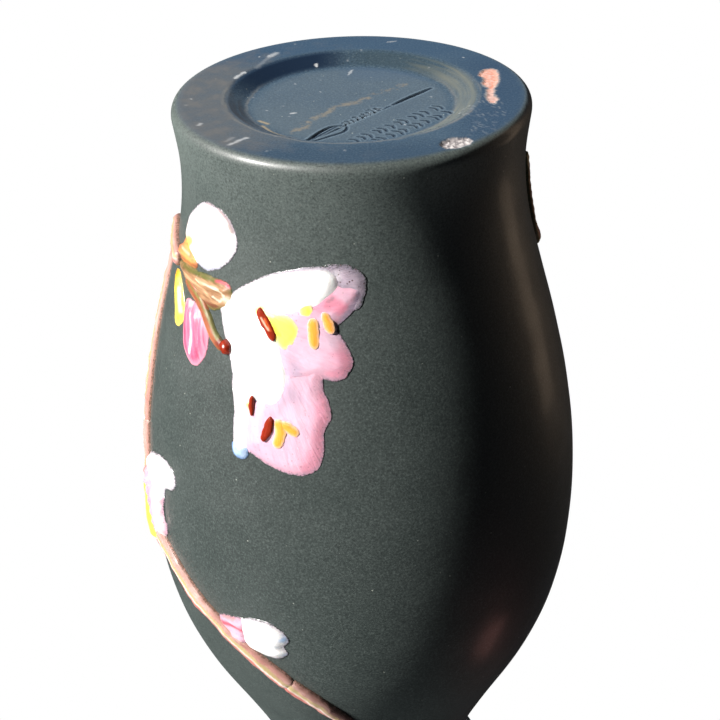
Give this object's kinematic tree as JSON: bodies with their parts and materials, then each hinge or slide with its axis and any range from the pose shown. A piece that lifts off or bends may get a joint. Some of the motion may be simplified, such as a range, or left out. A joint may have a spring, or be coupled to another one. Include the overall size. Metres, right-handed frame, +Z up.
{
  "type": "vase",
  "caption": "Free-standing baluster vase with a recessed foot, narrow neck and flared lip, decorated with a flowering branch in raised enamel.",
  "frame": {"origin": "centre of the foot, on the surface that the vase stands on", "axes": "+Z up the vase's axis to the mouth; the side with the large front blossom faces -Y and +X"},
  "size_m": [0.1228, 0.1232, 0.2356],
  "materials": {
    "body_glaze": "satin dark grey-green glaze with fine pale specks",
    "white_enamel": "glossy raised enamel",
    "pink_enamel": "glossy raised enamel, streaked",
    "yellow_enamel": "glossy raised enamel",
    "orange_enamel": "glossy raised enamel",
    "red_enamel": "very glossy raised enamel",
    "olive_enamel": "glossy raised enamel, swirled",
    "branch_enamel": "glossy raised enamel, streaked",
    "leaf_enamel": "glossy raised enamel, streaked",
    "blue_enamel": "glossy raised enamel",
    "lilac_enamel": "glossy raised enamel, speckled"
  },
  "bodies": {
    "root": {"back_blossom_anthers": "orange_enamel", "back_blossom_heart": "yellow_enamel", "back_blossom_petal_1": "white_enamel", "back_blossom_petal_2": "white_enamel", "back_blossom_petal_3": "white_enamel", "back_blossom_petal_4": "white_enamel", "back_blossom_petal_5": "white_enamel", "back_bud_calyxes": "orange_enamel", "back_bud_petals": "white_enamel", "back_leaves": "leaf_enamel", "back_limb_left": "branch_enamel", "back_limb_lower": "branch_enamel", "back_limb_rising": "branch_enamel", "back_limb_tip": "branch_enamel", "back_twig": "branch_enamel", "brown_stem": "olive_enamel", "foot_twig": "branch_enamel", "front_anthers_orange": "orange_enamel", "front_anthers_red": "red_enamel", "front_bud_calyx": "orange_enamel", "front_bud_petal": "white_enamel", "front_heart": "yellow_enamel", "front_petal_blue_tip": "blue_enamel", "front_petal_lilac_tip": "lilac_enamel", "front_petal_pink_lower": "pink_enamel", "front_petal_pink_upper": "pink_enamel", "front_petal_white_lower": "white_enamel", "front_petal_white_middle": "white_enamel", "front_petal_white_upper": "white_enamel", "left_blossom_anthers": "orange_enamel", "left_blossom_heart": "yellow_enamel", "left_blossom_petal_1": "white_enamel", "left_blossom_petal_2": "white_enamel", "left_blossom_petal_3": "white_enamel", "left_blossom_petal_4": "white_enamel", "left_blossom_petal_5": "white_enamel", "olive_calyx": "olive_enamel", "pink_bud": "pink_enamel", "right_leaf": "leaf_enamel", "shoulder_branch": "branch_enamel", "shoulder_branch_tip": "branch_enamel", "shoulder_bud_calyx": "orange_enamel", "shoulder_bud_petals": "white_enamel", "side_blossom_anthers": "orange_enamel", "side_blossom_heart": "yellow_enamel", "side_blossom_petal_1": "white_enamel", "side_blossom_petal_2": "white_enamel", "side_blossom_petal_3": "white_enamel", "side_blossom_petal_4": "white_enamel", "side_blossom_petal_5": "white_enamel", "side_bud_calyx": "orange_enamel", "side_bud_petals": "white_enamel", "side_leaf_yellow": "yellow_enamel", "stem_bead": "red_enamel", "trunk_lower": "branch_enamel", "trunk_middle": "branch_enamel", "trunk_upper": "branch_enamel", "vase_body": "body_glaze", "yellow_sepal": "yellow_enamel"}
  },
  "joints": []
}
